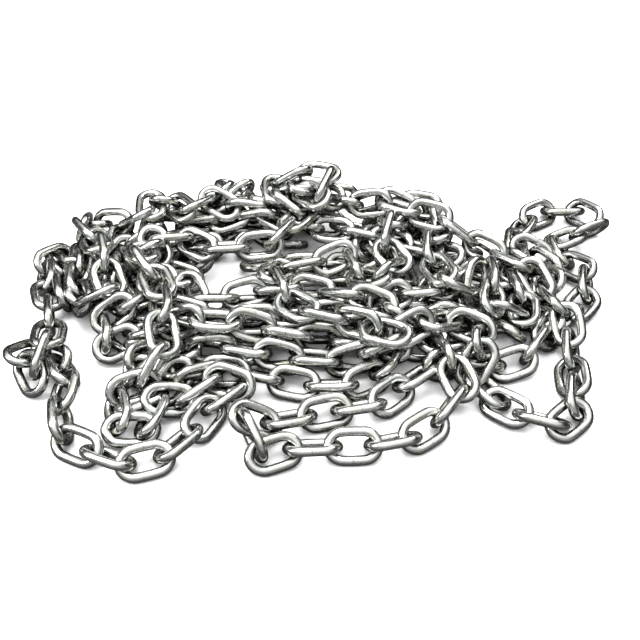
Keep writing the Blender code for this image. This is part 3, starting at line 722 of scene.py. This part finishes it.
def studio(view_shift):
    """White floor, overhead softboxes in a dark room, and the photograph's view."""
    bpy.context.scene.view_settings.view_transform = "Standard"
    half = 6.0
    mesh = bpy.data.meshes.new("floor")
    mesh.from_pydata([(-half, -half, 0), (half, -half, 0), (half, half, 0), (-half, half, 0)], [], [(0, 1, 2, 3)])
    floor = bpy.data.objects.new("floor", mesh)
    bpy.context.scene.collection.objects.link(floor)
    paint = bpy.data.materials.new("white_floor")
    paint.use_nodes = True
    coat = paint.node_tree.nodes["Principled BSDF"]
    direct = add(paint.node_tree, "ShaderNodeLightPath").outputs["Is Camera Ray"]
    tone = add(paint.node_tree, "ShaderNodeMix", {0: direct, 6: linear("#464646"), 7: linear("#FAFAFA")},
               data_type="RGBA")
    # Painted shadow: seen straight from the viewpoint, the floor's glow is turned down by ambient occlusion, so the
    # floor is darker where links stand close over it.
    open_floor = add(paint.node_tree, "ShaderNodeAmbientOcclusion", {"Distance": 0.06}, samples=8)
    shadowed_glow = add(paint.node_tree, "ShaderNodeMapRange",
               {"Value": open_floor.outputs["AO"], "From Min": 0.3, "From Max": 0.8, "To Max": 0.75})
    glow = add(paint.node_tree, "ShaderNodeMath", {0: direct, 1: shadowed_glow.outputs[0]}, operation="MULTIPLY")
    paint.node_tree.links.new(tone.outputs[2], coat.inputs["Base Color"])
    paint.node_tree.links.new(glow.outputs[0], coat.inputs["Emission Strength"])
    coat.inputs["Roughness"].default_value = 0.9
    coat.inputs["Specular IOR Level"].default_value = 0.1
    coat.inputs["Emission Color"].default_value = (1.0, 1.0, 1.0, 1.0)
    mesh.materials.append(paint)

    world = bpy.data.worlds.new("studio")
    world.use_nodes = True
    bpy.context.scene.world = world
    tree = world.node_tree
    direction = add(tree, "ShaderNodeTexCoord").outputs["Generated"]
    aim = add(tree, "ShaderNodeSeparateXYZ", {"Vector": direction})
    ceiling = add(tree, "ShaderNodeMapRange",
                  {"Value": aim.outputs["Z"], "From Min": 0.5, "From Max": 0.85, "To Min": 0.03, "To Max": 1.6})
    front = add(tree, "ShaderNodeMapRange",
                {"Value": aim.outputs["Y"], "From Min": -0.1, "From Max": -0.8, "To Min": 0.0, "To Max": 0.55})
    fade = add(tree, "ShaderNodeMath", {0: ceiling.outputs[0], 1: front.outputs[0]}, operation="ADD")
    seen = add(tree, "ShaderNodeLightPath").outputs["Is Camera Ray"]
    shown = add(tree, "ShaderNodeMix", {0: seen, 2: fade.outputs[0], 3: 1.0}, data_type="FLOAT")
    tree.links.new(shown.outputs[0], tree.nodes["Background"].inputs["Strength"])
    tree.nodes["Background"].inputs["Color"].default_value = (1.0, 1.0, 1.0, 1.0)

    for name, place, size, power in (("softbox_overhead", (-0.25, 0.1, 1.5), 0.9, 21.0),
                                     ("softbox_left", (-1.4, -0.4, 1.0), 0.6, 16.0),
                                     ("softbox_back", (0.8, 1.0, 1.3), 0.6, 12.0)):
        lamp = bpy.data.lights.new(name, "AREA")
        lamp.shape = "SQUARE"
        lamp.size = size
        lamp.energy = power
        held = bpy.data.objects.new(name, lamp)
        held.location = place
        held.rotation_euler = (-held.location).to_track_quat("-Z", "Y").to_euler()
        bpy.context.scene.collection.objects.link(held)

    lens = bpy.data.cameras.new("photograph_view")
    lens.sensor_width = 36.0
    lens.lens = 36.0 * VIEW_FOCAL / (2 * PICTURE_MIDDLE)
    camera = bpy.data.objects.new("photograph_view", lens)
    camera.location = VIEWPOINT + view_shift
    camera.rotation_euler = (math.pi / 2 - VIEW_TILT, 0.0, 0.0)
    bpy.context.scene.collection.objects.link(camera)
    bpy.context.scene.camera = camera


centre, axis, width = lay_links()
low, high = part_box("links_001_to_001")
shift = np.array([(low[0] + high[0]) / 2, (low[1] + high[1]) / 2, 0.0]) - centre[0] * (1, 1, 0)
make_links(centre, axis, width, hidden_links(centre, axis, width), shift)
studio(shift)
